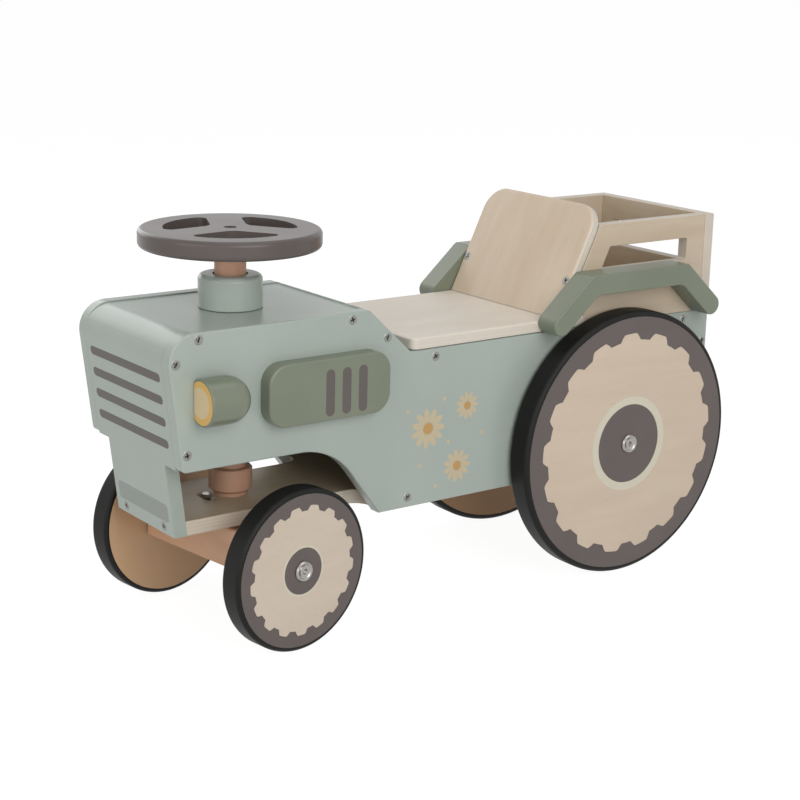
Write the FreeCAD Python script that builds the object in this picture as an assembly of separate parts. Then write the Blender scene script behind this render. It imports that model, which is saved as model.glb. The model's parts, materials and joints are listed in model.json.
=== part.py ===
import FreeCAD, Part
import math
import os

from FreeCAD import Matrix, Placement, Rotation, Vector

os.makedirs("parts", exist_ok=True)

# Wooden ride-on tractor for a toddler, in millimetres.
# While the pieces are made, X runs forward from the rear axle, Y to the rider's left and Z up from the floor.

# Wheels: plywood discs with a rubber band tyre
WHEELBASE = 348.5
REAR_DISC_R = 112.0
REAR_TYRE_T = 4.8
REAR_WHEEL_W = 21.8
REAR_SPACER_L = 2.0
FRONT_DISC_R = 61.4
FRONT_TYRE_T = 3.8
FRONT_WHEEL_W = 19.2
FRONT_SPACER_L = 2.4
TYRE_SEAT = 0.1

# Axles, spacers and hub bolts
REAR_AXLE_R = 5.0
FRONT_AXLE_R = 4.0
RUNNING_FIT = 0.08
SPACER_R = 12.0
SPACER_GAP = 0.4
HUB_BOLT_R = 8.2
HUB_RIM_H = 2.6
HUB_RIM_W = 1.6
HUB_DISH_R = 5.4
HUB_DISH_H = 1.0
HUB_CAP_R = 4.6
HUB_CAP_H = 2.2
HUB_BOLT_SHANK_R = 2.5
HUB_BOLT_SHANK_L = 14.0
HUB_SOCKET_R = 2.6
HUB_SOCKET_DEPTH = 1.8
HEX_SIDES = 6

# Body box: plywood boards screwed edge to face
PLY = 11.0
BODY_W = 144.0
AXLE_ABOVE_SILL = 26.3
SIDE_H = 130.0
TAIL_OVERHANG = 113.0
NOSE_OVERHANG = 93.8
NOSE_RAKE = 7.4
NOSE_R = 22.0
HOOD_L = 180.8
HOOD_RISE = 37.5
HOOD_SKIRT = 105.5
DASH_RUN = 40.5
ARCH_R = 60.0
ARCH_FOOT_SETBACK = 99.5
ARCH_CORNER_SETBACK = 53.8
PANEL_CORNER_R = 4.0
BASE_T = 12.0
BASE_RAISE = 2.5
TONGUE_W = 90.0
TONGUE_FLARE_R = 14.0
BOARD_GAP = 0.2

# Seat and backrest
SEAT_T = 9.0
SEAT_FRONT_GAP = 2.0
SEAT_END_AHEAD = 38.0
SEAT_CORNER_R = 6.0
SEAT_EASE = 2.5
RAIL_D = 30.0
RAIL_SETBACK = 23.0
BACK_T = 9.0
BACK_TILT = 25.5
BACK_FROM_SEAT_END = 32.5
BACK_RISE = 93.0
BACK_CORNER_R = 22.0
BACK_EASE = 2.5
BACK_SCREW_RISE = 31.5

# Cargo box behind the backrest
CARGO_H = 86.0
SIDE_SILL_H = 47.0
SIDE_RAIL_H = 19.5
SIDE_POST_D = 21.0
SIDE_FRONT_POST_D = 22.0
BACK_SILL_H = 41.5
BACK_RAIL_H = 21.0
BACK_POST_W = 24.0
WINDOW_R = 2.0

# Mudguards over the rear wheels
GUARD_T = 22.0
GUARD_BAR = 17.7
GUARD_RISE = 48.3
GUARD_TOP_L = 112.4
GUARD_LEG_L = 58.5
GUARD_LEG_ANGLE = 41.5
GUARD_MID_SETBACK = 7.5
GUARD_BEND_R = 10.0
GUARD_EASE = 1.5

# Headlamps and engine blocks on the hood sides
LAMP_R = 18.0
LAMP_AXIS_OUT = 10.5
LAMP_BARREL_L = 21.5
LAMP_DROP = 50.5
LAMP_SETBACK = 23.3
ENGINE_L = 112.0
ENGINE_H = 49.5
ENGINE_T = 13.0
ENGINE_R = 16.0
ENGINE_DROP = 54.7
ENGINE_SETBACK = 136.8
ENGINE_EASE = 2.0

# Steering: wheel, dowel column, beam axle and its stop bolt
AXLE_LEAD = 4.0
STEER_LIMIT = 20.0
STEER_AT_REST = 7.7
COLUMN_R = 12.5
COLUMN_SOCKET = 16.0
COLLAR_R = 25.3
COLLAR_H = 25.5
COLLAR_EASE = 4.0
COLLAR_BORE_GAP = 1.5
WHEEL_RISE = 46.5
WHEEL_T = 15.0
WHEEL_R = 71.5
WHEEL_RIM = 19.5
WHEEL_EASE = 4.0
WINDOW_MID_ANGLE = 57.8
WINDOW_COUNT = 3
SPOKE_W = 28.0
WINDOW_CORNER_R = 6.0
WINDOW_HUB_R = 12.0
WHEEL_BOLT_R = 5.0
WHEEL_BOLT_H = 3.0
WHEEL_BOLT_RECESS = 4.5
WHEEL_BOLT_SHANK_R = 2.5
WHEEL_BOLT_L = 34.0
RING_R = 17.5
RING_H = 19.0
RING_SHOULDER_R = 13.6
RING_SHOULDER_H = 4.0
RING_EASE = 1.5
BEAM_D = 50.0
BEAM_BELOW_AXLE = 9.2
BEAM_EASE = 2.0
THRUST_R = 18.0
THRUST_T = 3.0
STOP_RADIUS = 23.5
STOP_BOLT_R = 3.0
STOP_HEAD_R = 4.4
STOP_HEAD_H = 2.8
STOP_HEAD_GAP = 1.0
STOP_DEPTH = 14.0
STOP_SLOT_GAP = 0.5

# Countersunk wood screws
SCREW_HEAD_R = 3.4
SCREW_HEAD_H = 2.4
SCREW_SHANK_R = 1.8
SCREW_L = 26.0
SCREW_HOLE_GAP = 0.1
HOOD_SCREW_SPACE = 16.5
SKIRT_SCREW_RISE = 13.5
DASH_SCREW_RISE = 14.0
SEAT_SCREW_DROP = 7.0
TAIL_SCREW_SPACE = 20.0
TAIL_SCREW_DROP = 29.0

# Heights and stations that follow from the driving dimensions
REAR_TYRE_R = REAR_DISC_R + REAR_TYRE_T
FRONT_TYRE_R = FRONT_DISC_R + FRONT_TYRE_T
SILL_Z = REAR_TYRE_R - AXLE_ABOVE_SILL
SEAT_REST_Z = SILL_Z + SIDE_H
SEAT_TOP_Z = SEAT_REST_Z + SEAT_T
HOOD_Z = SEAT_REST_Z + HOOD_RISE
SKIRT_Z = HOOD_Z - HOOD_SKIRT
BASE_Z = SILL_Z + BASE_RAISE
BASE_TOP_Z = BASE_Z + BASE_T
APRON_Z = BASE_Z
TAIL_X = -TAIL_OVERHANG
NOSE_X = WHEELBASE + NOSE_OVERHANG
HOOD_REAR_X = NOSE_X - HOOD_L
DASH_FOOT_X = HOOD_REAR_X - DASH_RUN
ARCH_FOOT_X = WHEELBASE - ARCH_FOOT_SETBACK
ARCH_CORNER_X = WHEELBASE - ARCH_CORNER_SETBACK
HALF_W = BODY_W / 2
INNER_W = BODY_W - 2 * PLY - 2 * BOARD_GAP
SEAT_FRONT_X = DASH_FOOT_X - SEAT_FRONT_GAP
SEAT_REAR_X = SEAT_END_AHEAD
BACK_X = SEAT_REAR_X + BACK_FROM_SEAT_END
TAN_BACK = math.tan(math.radians(BACK_TILT))
BACK_RUN = BACK_T / math.cos(math.radians(BACK_TILT))
CARGO_Z = SEAT_REST_Z + CARGO_H
CARGO_REAR_X = TAIL_X + PLY
TAN_RAKE = math.tan(math.radians(NOSE_RAKE))
RAKE_RUN = PLY / math.cos(math.radians(NOSE_RAKE))
STEER_X = WHEELBASE - AXLE_LEAD
WHEEL_Z = HOOD_Z + WHEEL_RISE
BEAM_TOP_Z = BASE_Z - THRUST_T
BEAM_Z = FRONT_TYRE_R - BEAM_BELOW_AXLE
REAR_IN_Y = HALF_W + REAR_SPACER_L + SPACER_GAP
REAR_OUT_Y = REAR_IN_Y + REAR_WHEEL_W
FRONT_IN_Y = HALF_W + FRONT_SPACER_L + SPACER_GAP
FRONT_OUT_Y = FRONT_IN_Y + FRONT_WHEEL_W
MIDDLE_X = (NOSE_X - REAR_TYRE_R) / 2


def nose_x(z):
    """Front face of the raked nose at height z."""
    return NOSE_X - (HOOD_Z - z) * TAN_RAKE


def dash_x(z):
    """Rear face of the sloped dash at height z."""
    return HOOD_REAR_X - (HOOD_Z - z) * DASH_RUN / HOOD_RISE


def back_x(z):
    """Front face of the backrest at height z."""
    return BACK_X - (z - SEAT_TOP_Z) * TAN_BACK


def outline(corners):
    """Closed flat wire through corners (u, v, radius), each rounded by its radius."""
    count = len(corners)
    ends = []
    for i, (u, v, radius) in enumerate(corners):
        here = Vector(u, v, 0)
        before = Vector(corners[i - 1][0], corners[i - 1][1], 0) - here
        after = Vector(corners[(i + 1) % count][0], corners[(i + 1) % count][1], 0) - here
        before.normalize()
        after.normalize()
        half = before.getAngle(after) / 2
        run = radius / math.tan(half)
        middle = before + after
        inset = radius / math.sin(half) - radius
        if radius:
            middle.normalize()
        ends.append((here + before * run, here + middle * inset, here + after * run, radius))
    edges = []
    for i, (start, middle, end, radius) in enumerate(ends):
        if radius:
            edges.append(Part.Arc(start, middle, end).toShape())
        edges.append(Part.LineSegment(end, ends[(i + 1) % count][0]).toShape())
    return Part.Wire(edges)


def slab(corners, thickness, holes=()):
    """Flat board with a rounded outline and holes, from z = 0 up to its thickness."""
    face = Part.Face([outline(corners)] + [outline(hole) for hole in holes])
    return face.extrude(Vector(0, 0, thickness))


def upright(shape, y):
    """Stand a board drawn in X and Z on edge, with its left face at y."""
    shape.Placement = Placement(Vector(0, y, 0), Rotation(Vector(1, 0, 0), 90))
    return shape


def across(corners, width):
    """Board with a section drawn in X and Z, centred across the toy."""
    return upright(slab(corners, width), width / 2)


def box(x0, x1, y0, y1, z0, z1):
    return Part.makeBox(x1 - x0, y1 - y0, z1 - z0, Vector(x0, y0, z0))


def rod(radius, length, base, direction):
    return Part.makeCylinder(radius, length, base, direction)


def turned(profile, base, axis):
    """Solid of revolution: profile points (radius, height) about an axis through base."""
    points = [Vector(r, 0, h) for r, h in profile]
    face = Part.Face(Part.makePolygon(points + points[:1]))
    solid = face.revolve(Vector(0, 0, 0), Vector(0, 0, 1), 360)
    solid.Placement = Placement(base, Rotation(Vector(0, 0, 1), axis))
    return solid


def eased(shape, radius, wanted):
    """Round the edges of a shape that the test picks out."""
    return shape.makeFillet(radius, [edge for edge in shape.Edges if wanted(edge)])


def mirrored(shape):
    return shape.mirror(Vector(0, 0, 0), Vector(0, 1, 0))


def flat_at(axis, value):
    """Test for edges that lie wholly in the plane axis = value."""
    def test(edge):
        box_of = edge.BoundBox
        low, high = getattr(box_of, axis + "Min"), getattr(box_of, axis + "Max")
        return abs(low - value) < SCREW_HOLE_GAP and abs(high - value) < SCREW_HOLE_GAP
    return test


# Screws: position of the head's face and the direction the screw is driven
NOSE_MID = PLY / 2 / math.cos(math.radians(NOSE_RAKE))
DASH_LEAN = math.atan2(DASH_RUN, HOOD_RISE)
side_screws = [
    (nose_x(HOOD_Z) - HOOD_SCREW_SPACE - PLY, HOOD_Z - PLY / 2),
    (HOOD_REAR_X + HOOD_SCREW_SPACE, HOOD_Z - PLY / 2),
    (nose_x(HOOD_Z - NOSE_R) - NOSE_MID, HOOD_Z - NOSE_R),
    (nose_x(SKIRT_Z + SKIRT_SCREW_RISE) - NOSE_MID, SKIRT_Z + SKIRT_SCREW_RISE),
    (dash_x(SEAT_REST_Z + DASH_SCREW_RISE) + PLY / 2 / math.cos(DASH_LEAN), SEAT_REST_Z + DASH_SCREW_RISE),
    (SEAT_FRONT_X - RAIL_SETBACK, SEAT_REST_Z - SEAT_SCREW_DROP),
    (DASH_FOOT_X, BASE_Z + BASE_T / 2),
    (CARGO_REAR_X + TAIL_SCREW_SPACE, BASE_Z + BASE_T / 2),
    (SEAT_REAR_X - TAIL_SCREW_SPACE, SEAT_REST_Z - SEAT_SCREW_DROP),
    (CARGO_REAR_X + TAIL_SCREW_SPACE, SEAT_REST_Z - SEAT_SCREW_DROP),
    (TAIL_X + PLY / 2, SEAT_REST_Z - TAIL_SCREW_DROP),
    (TAIL_X + PLY / 2, BASE_TOP_Z + TAIL_SCREW_DROP),
]
LEFTWARD = Vector(0, 1, 0)
apron_z = BASE_Z + BASE_T / 2
apron_normal = Vector(math.cos(math.radians(NOSE_RAKE)), 0, -math.sin(math.radians(NOSE_RAKE)))
back_normal = Vector(math.cos(math.radians(BACK_TILT)), 0, math.sin(math.radians(BACK_TILT)))
back_screw_z = SEAT_TOP_Z + BACK_SCREW_RISE
screw_places = []
for side in (1, -1):
    for x, z in side_screws:
        screw_places.append((Vector(x, side * HALF_W, z), LEFTWARD * -side))
    screw_places.append((Vector(nose_x(apron_z), side * TONGUE_W / 3, apron_z), apron_normal * -1))
    screw_places.append((Vector(back_x(back_screw_z), side * (HALF_W - PLY / 2), back_screw_z), back_normal * -1))


def screw(place, grow):
    """Countersunk screw, or with grow its hole."""
    head, direction = place
    profile = [
        (0, 0),
        (SCREW_HEAD_R + grow, 0),
        (SCREW_SHANK_R + grow, SCREW_HEAD_H),
        (SCREW_SHANK_R + grow, SCREW_L + grow),
        (0, SCREW_L + grow),
    ]
    return turned(profile, head, direction)


screw_holes = Part.Compound([screw(place, SCREW_HOLE_GAP) for place in screw_places])


def drilled(shape):
    return shape.cut(screw_holes)


# Side panels: hood side, front wheel arch, seat rest and tail in one board
def side_panel():
    corners = [
        (TAIL_X, SILL_Z, PANEL_CORNER_R),
        (ARCH_FOOT_X, SILL_Z, 0),
        (ARCH_CORNER_X, SKIRT_Z, ARCH_R),
        (nose_x(SKIRT_Z), SKIRT_Z, PANEL_CORNER_R),
        (NOSE_X, HOOD_Z, NOSE_R),
        (HOOD_REAR_X, HOOD_Z, PANEL_CORNER_R),
        (DASH_FOOT_X, SEAT_REST_Z, 0),
        (TAIL_X, SEAT_REST_Z, 0),
    ]
    board = upright(slab(corners, PLY), HALF_W)
    axle_hole = rod(REAR_AXLE_R + RUNNING_FIT, BODY_W, Vector(0, 0, REAR_TYRE_R), LEFTWARD)
    return drilled(board.cut(axle_hole))


# Hood: front board with its apron, top board rounded into it, and the sloped dash
def nose_block():
    """Solid hood between the side panels, which the boards are cut from."""
    corners = [
        (nose_x(APRON_Z), APRON_Z, 0),
        (NOSE_X, HOOD_Z, NOSE_R),
        (HOOD_REAR_X, HOOD_Z, 0),
        (DASH_FOOT_X, SEAT_REST_Z, 0),
        (DASH_FOOT_X, APRON_Z, 0),
    ]
    return across(corners, INNER_W)


def hood_front_board():
    raked = [
        (nose_x(APRON_Z), APRON_Z, 0),
        (nose_x(HOOD_Z - PLY), HOOD_Z - PLY, 0),
        (nose_x(HOOD_Z - PLY) - RAKE_RUN, HOOD_Z - PLY, 0),
        (nose_x(APRON_Z) - RAKE_RUN, APRON_Z, 0),
    ]
    board = nose_block().common(across(raked, INNER_W))
    for side in (1, -1):
        inner, outer = sorted((side * TONGUE_W / 2, side * HALF_W))
        board = board.cut(box(DASH_FOOT_X, NOSE_X, inner, outer, APRON_Z, SKIRT_Z))
    return drilled(board)


def hood_top_board():
    board = nose_block().common(box(DASH_FOOT_X, NOSE_X, -HALF_W, HALF_W, HOOD_Z - PLY, HOOD_Z))
    hole = rod(COLUMN_R + COLLAR_BORE_GAP, PLY, Vector(STEER_X, 0, HOOD_Z - PLY), Vector(0, 0, 1))
    return drilled(board.cut(hole))


def dash_board():
    run = PLY / math.cos(DASH_LEAN)
    top = HOOD_Z - PLY
    corners = [
        (dash_x(SEAT_REST_Z), SEAT_REST_Z, 0),
        (dash_x(SEAT_REST_Z) + run, SEAT_REST_Z, 0),
        (dash_x(top) + run, top, 0),
        (dash_x(top), top, 0),
    ]
    return drilled(across(corners, INNER_W))


# Base board: floor of the body with a narrow tongue out to the apron
def base_board():
    half, tongue = INNER_W / 2, TONGUE_W / 2
    left_edge = [
        (CARGO_REAR_X, half, 0),
        (ARCH_FOOT_X, half, 0),
        (ARCH_FOOT_X, tongue, TONGUE_FLARE_R),
        (NOSE_X, tongue, 0),
    ]
    right_edge = [(x, -y, r) for x, y, r in reversed(left_edge)]
    board = slab(left_edge + right_edge, BASE_T)
    board.translate(Vector(0, 0, BASE_Z))
    reach = [
        (CARGO_REAR_X, BASE_Z, 0),
        (nose_x(BASE_Z) - RAKE_RUN, BASE_Z, 0),
        (nose_x(BASE_TOP_Z) - RAKE_RUN, BASE_TOP_Z, 0),
        (CARGO_REAR_X, BASE_TOP_Z, 0),
    ]
    board = board.common(across(reach, INNER_W))
    bore = rod(COLUMN_R + RUNNING_FIT, BASE_T, Vector(STEER_X, 0, BASE_Z), Vector(0, 0, 1))
    return drilled(board.cut(bore).cut(stop_slot()))


def stop_slot():
    """Arc slot about the column that the stop bolt sweeps between its limits."""
    half = STOP_BOLT_R + STOP_SLOT_GAP
    up = Vector(0, 0, 1)
    centre = Vector(STEER_X, 0, BASE_Z)
    ring = Part.makeCylinder(STOP_RADIUS + half, BASE_T, centre, up, 2 * STEER_LIMIT)
    ring = ring.cut(Part.makeCylinder(STOP_RADIUS - half, BASE_T, centre, up))
    ring.rotate(centre, up, -STEER_LIMIT)
    for angle in (-STEER_LIMIT, STEER_LIMIT):
        turn = math.radians(angle)
        end = centre + Vector(STOP_RADIUS * math.cos(turn), STOP_RADIUS * math.sin(turn), 0)
        ring = ring.fuse(Part.makeCylinder(half, BASE_T, end, up))
    return ring


def seat_rail():
    middle = SEAT_FRONT_X - RAIL_SETBACK
    half = INNER_W / 2
    rail = box(middle - RAIL_D / 2, middle + RAIL_D / 2, -half, half, SEAT_REST_Z - PLY, SEAT_REST_Z)
    return drilled(rail)


def tail_board():
    half = INNER_W / 2
    return drilled(box(TAIL_X, CARGO_REAR_X, -half, half, SILL_Z, SEAT_REST_Z))


# Seat board on the side panels, and the backrest standing on it
def seat_board():
    corners = [
        (SEAT_FRONT_X, -HALF_W, SEAT_CORNER_R),
        (SEAT_FRONT_X, HALF_W, SEAT_CORNER_R),
        (SEAT_REAR_X, HALF_W, 0),
        (SEAT_REAR_X, -HALF_W, 0),
    ]
    board = slab(corners, SEAT_T)
    board.translate(Vector(0, 0, SEAT_REST_Z))
    rear_edge = flat_at("X", SEAT_REAR_X)
    top = flat_at("Z", SEAT_TOP_Z)
    return eased(board, SEAT_EASE, lambda edge: top(edge) and not rear_edge(edge))


def backrest():
    length = BACK_RISE / math.cos(math.radians(BACK_TILT))
    corners = [
        (-HALF_W, -BACK_T, 0),
        (HALF_W, -BACK_T, 0),
        (HALF_W, length, BACK_CORNER_R),
        (-HALF_W, length, BACK_CORNER_R),
    ]
    board = slab(corners, BACK_T)
    on_face = [flat_at("Z", 0), flat_at("Z", BACK_T)]
    foot = flat_at("Y", -BACK_T)
    board = eased(board, BACK_EASE, lambda edge: any(test(edge) for test in on_face) and not foot(edge))
    tilt = math.radians(BACK_TILT)
    across_seat = Vector(0, 1, 0)
    up_slope = Vector(-math.sin(tilt), 0, math.cos(tilt))
    origin = Vector(BACK_X, 0, SEAT_TOP_Z) - back_normal * BACK_T
    frame = Matrix(
        across_seat.x, up_slope.x, back_normal.x, origin.x,
        across_seat.y, up_slope.y, back_normal.y, origin.y,
        across_seat.z, up_slope.z, back_normal.z, origin.z,
        0, 0, 0, 1,
    )
    board.Placement = Placement(frame)
    below = box(BACK_X - BODY_W, BACK_X + BODY_W, -BODY_W, BODY_W, 0, SEAT_TOP_Z)
    return drilled(board.cut(below))


# Cargo box: two sides and a back with hand windows, on a floor between the side panels
def cargo_side():
    front_gap = BACK_RUN + BOARD_GAP
    sill, head = SEAT_REST_Z + SIDE_SILL_H, CARGO_Z - SIDE_RAIL_H
    corners = [
        (CARGO_REAR_X, SEAT_REST_Z, 0),
        (SEAT_REAR_X - BOARD_GAP, SEAT_REST_Z, 0),
        (SEAT_REAR_X - BOARD_GAP, SEAT_TOP_Z, 0),
        (back_x(SEAT_TOP_Z) - front_gap, SEAT_TOP_Z, 0),
        (back_x(CARGO_Z) - front_gap, CARGO_Z, 0),
        (CARGO_REAR_X, CARGO_Z, 0),
    ]
    window = [
        (CARGO_REAR_X + SIDE_POST_D, sill, WINDOW_R),
        (back_x(sill) - front_gap - SIDE_FRONT_POST_D, sill, WINDOW_R),
        (back_x(head) - front_gap - SIDE_FRONT_POST_D, head, WINDOW_R),
        (CARGO_REAR_X + SIDE_POST_D, head, WINDOW_R),
    ]
    return drilled(upright(slab(corners, PLY, [window]), HALF_W))


def cargo_back():
    sill, head = SEAT_REST_Z + BACK_SILL_H, CARGO_Z - BACK_RAIL_H
    reach = HALF_W - BACK_POST_W
    corners = [
        (-HALF_W, SEAT_REST_Z, 0),
        (HALF_W, SEAT_REST_Z, 0),
        (HALF_W, CARGO_Z, 0),
        (-HALF_W, CARGO_Z, 0),
    ]
    window = [
        (-reach, sill, WINDOW_R),
        (reach, sill, WINDOW_R),
        (reach, head, WINDOW_R),
        (-reach, head, WINDOW_R),
    ]
    board = upright(slab(corners, PLY, [window]), 0)
    board.rotate(Vector(0, 0, 0), Vector(0, 0, 1), 90)
    board.translate(Vector(TAIL_X, 0, 0))
    return board


def cargo_floor():
    half = INNER_W / 2
    return drilled(box(CARGO_REAR_X, SEAT_REAR_X, -half, half, SEAT_REST_Z - PLY, SEAT_REST_Z))


# Mudguard: one bar cut as a flat-topped arch with rounded feet
def mudguard():
    bend = math.radians(GUARD_LEG_ANGLE)
    shift = GUARD_BAR * math.tan(bend / 2)
    half = GUARD_TOP_L / 2
    top = SEAT_REST_Z + GUARD_RISE
    end_r = GUARD_BAR * 0.49
    leg_x, leg_z = GUARD_LEG_L * math.cos(bend), GUARD_LEG_L * math.sin(bend)
    in_x, in_z = GUARD_BAR * math.sin(bend), GUARD_BAR * math.cos(bend)
    half_outline = [
        (half, top, GUARD_BEND_R / 2),
        (half + leg_x, top - leg_z, end_r),
        (half + leg_x - in_x, top - leg_z - in_z, end_r),
        (half - shift, top - GUARD_BAR, GUARD_BEND_R),
    ]
    middle = -GUARD_MID_SETBACK
    corners = [(middle + u, v, r) for u, v, r in half_outline]
    corners += [(middle - u, v, r) for u, v, r in reversed(half_outline)]
    bar = upright(slab(corners, GUARD_T), HALF_W + GUARD_T)
    return eased(bar, GUARD_EASE, flat_at("Y", HALF_W + GUARD_T))


# Headlamp: turned bullet cut flat where it meets the hood side
def headlamp():
    front = Vector(NOSE_X - LAMP_SETBACK, HALF_W + LAMP_AXIS_OUT, HOOD_Z - LAMP_DROP)
    rearward = Vector(-1, 0, 0)
    barrel = rod(LAMP_R, LAMP_BARREL_L, front, rearward)
    dome = Part.makeSphere(LAMP_R, front + rearward * LAMP_BARREL_L)
    ahead = front.x - LAMP_BARREL_L
    dome = dome.common(box(ahead - LAMP_R, ahead, HALF_W, HALF_W + 3 * LAMP_R, front.z - LAMP_R, front.z + LAMP_R))
    body = barrel.common(box(ahead, front.x, HALF_W, HALF_W + 3 * LAMP_R, front.z - LAMP_R, front.z + LAMP_R))
    return body.fuse(dome).removeSplitter()


def engine_block():
    left = NOSE_X - ENGINE_SETBACK
    middle_z = HOOD_Z - ENGINE_DROP
    corners = [
        (left - ENGINE_L / 2, middle_z - ENGINE_H / 2, ENGINE_R),
        (left + ENGINE_L / 2, middle_z - ENGINE_H / 2, ENGINE_R),
        (left + ENGINE_L / 2, middle_z + ENGINE_H / 2, ENGINE_R),
        (left - ENGINE_L / 2, middle_z + ENGINE_H / 2, ENGINE_R),
    ]
    block = upright(slab(corners, ENGINE_T), HALF_W + ENGINE_T)
    return eased(block, ENGINE_EASE, flat_at("Y", HALF_W + ENGINE_T))


# Wheels: disc with an axle bore, and a tyre with rounded shoulders
def wheel_disc(radius, width, bore):
    disc = rod(radius, width, Vector(0, 0, 0), LEFTWARD)
    return disc.cut(rod(bore, width, Vector(0, 0, 0), LEFTWARD))


def wheel_tyre(inner, outer, width):
    shoulder = outer - inner
    corners = [
        (inner, 0, 0),
        (outer, 0, shoulder * 0.8),
        (outer, width, shoulder * 0.8),
        (inner, width, 0),
    ]
    band = Part.Face(outline(corners)).revolve(Vector(0, 0, 0), Vector(0, 1, 0), 360)
    return band


def on_axle(shape, x, y, z):
    shape.translate(Vector(x, y, z))
    return shape


def spacer(bore, length):
    return rod(SPACER_R, length, Vector(0, 0, 0), LEFTWARD).cut(rod(bore, length, Vector(0, 0, 0), LEFTWARD))


def hexagon(radius, x):
    """Corners of a hexagon about a point on the X axis."""
    turns = [2 * math.pi * i / HEX_SIDES for i in range(HEX_SIDES)]
    return [(x + radius * math.cos(turn), radius * math.sin(turn), 0) for turn in turns]


def hub_bolt():
    """Dished bolt with a hexagon socket, its shank running inward along -Y from the head's underside at y = 0."""
    profile = [
        (0, 0),
        (HUB_BOLT_R, 0),
        (HUB_BOLT_R, HUB_RIM_H / 2),
        (HUB_BOLT_R - HUB_RIM_W / 2, HUB_RIM_H),
        (HUB_BOLT_R - HUB_RIM_W, HUB_RIM_H),
        (HUB_DISH_R, HUB_DISH_H),
        (HUB_CAP_R, HUB_DISH_H),
        (HUB_CAP_R, HUB_CAP_H),
        (0, HUB_CAP_H),
    ]
    head = turned(profile, Vector(0, 0, 0), LEFTWARD)
    head = head.cut(upright(slab(hexagon(HUB_SOCKET_R, 0), HUB_SOCKET_DEPTH), HUB_CAP_H))
    shank = rod(HUB_BOLT_SHANK_R, HUB_BOLT_SHANK_L, Vector(0, -HUB_BOLT_SHANK_L, 0), LEFTWARD)
    return head.fuse(shank).removeSplitter()


def axle_rod(radius, reach, x, z):
    """Steel axle between the outer wheel faces, drilled at both ends for the hub bolts."""
    axle = rod(radius, 2 * reach, Vector(x, -reach, z), LEFTWARD)
    for side in (1, -1):
        depth = HUB_BOLT_SHANK_L + BOARD_GAP
        end = Vector(x, side * reach, z)
        axle = axle.cut(rod(HUB_BOLT_SHANK_R + SCREW_HOLE_GAP, depth, end, LEFTWARD * -side))
    return axle


def pair(shape):
    """The left piece and its mirror image as one group of separate solids."""
    return Part.Compound([shape, mirrored(shape)])


# Steering pieces, drawn straight ahead and turned to the rest angle when written out
def steering_wheel():
    rim_in = WHEEL_R - WHEEL_RIM
    disc = rod(WHEEL_R, WHEEL_T, Vector(0, 0, 0), Vector(0, 0, 1))
    disc = eased(disc, WHEEL_EASE, lambda edge: edge.BoundBox.ZLength < SCREW_HOLE_GAP)
    step = 2 * math.pi / WINDOW_COUNT
    vertex = SPOKE_W / 2 / math.sin(step / 2)
    far = 2 * WHEEL_R
    wedge = [
        (vertex, 0, WINDOW_HUB_R),
        (vertex + far * math.cos(step / 2), far * math.sin(step / 2), 0),
        (vertex + far * math.cos(step / 2), -far * math.sin(step / 2), 0),
    ]
    window = slab(wedge, WHEEL_T).common(rod(rim_in, WHEEL_T, Vector(0, 0, 0), Vector(0, 0, 1)))
    outer = rim_in - WINDOW_CORNER_R
    window = eased(
        window,
        WINDOW_CORNER_R,
        lambda edge: edge.BoundBox.ZLength > WHEEL_T / 2 and edge.BoundBox.Center.Length > outer,
    )
    for i in range(WINDOW_COUNT):
        cut = window.copy()
        cut.rotate(Vector(0, 0, 0), Vector(0, 0, 1), WINDOW_MID_ANGLE + math.degrees(i * step))
        disc = disc.cut(cut)
    recess = rod(WHEEL_BOLT_R + BOARD_GAP, WHEEL_BOLT_RECESS, Vector(0, 0, WHEEL_T - WHEEL_BOLT_RECESS), Vector(0, 0, 1))
    hole = rod(WHEEL_BOLT_SHANK_R + SCREW_HOLE_GAP, WHEEL_T, Vector(0, 0, 0), Vector(0, 0, 1))
    return on_axle(disc.cut(recess).cut(hole), STEER_X, 0, WHEEL_Z)


def wheel_bolt():
    seat = WHEEL_T - WHEEL_BOLT_RECESS
    head = rod(WHEEL_BOLT_R, WHEEL_BOLT_H, Vector(0, 0, seat), Vector(0, 0, 1))
    socket = rod(WHEEL_BOLT_SHANK_R, WHEEL_BOLT_H / 2, Vector(0, 0, seat + WHEEL_BOLT_H / 2), Vector(0, 0, 1))
    shank = rod(WHEEL_BOLT_SHANK_R, WHEEL_BOLT_L, Vector(0, 0, seat - WHEEL_BOLT_L), Vector(0, 0, 1))
    return on_axle(head.cut(socket).fuse(shank).removeSplitter(), STEER_X, 0, WHEEL_Z)


def steering_column():
    foot = BEAM_TOP_Z - COLUMN_SOCKET
    column = rod(COLUMN_R, WHEEL_Z - foot, Vector(STEER_X, 0, foot), Vector(0, 0, 1))
    depth = WHEEL_BOLT_L - WHEEL_T + WHEEL_BOLT_RECESS + BOARD_GAP
    hole = rod(WHEEL_BOLT_SHANK_R + SCREW_HOLE_GAP, depth, Vector(STEER_X, 0, WHEEL_Z - depth), Vector(0, 0, 1))
    return column.cut(hole)


def column_ring():
    """Wooden stop ring on the column, its shoulder running on the base board."""
    profile = [
        (COLUMN_R + TYRE_SEAT, 0),
        (RING_SHOULDER_R, 0),
        (RING_SHOULDER_R, RING_SHOULDER_H),
        (RING_R - RING_EASE, RING_SHOULDER_H),
        (RING_R, RING_SHOULDER_H + RING_EASE),
        (RING_R, RING_SHOULDER_H + RING_H - RING_EASE),
        (RING_R - RING_EASE, RING_SHOULDER_H + RING_H),
        (COLUMN_R + TYRE_SEAT, RING_SHOULDER_H + RING_H),
    ]
    return turned(profile, Vector(STEER_X, 0, BASE_TOP_Z), Vector(0, 0, 1))


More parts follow.
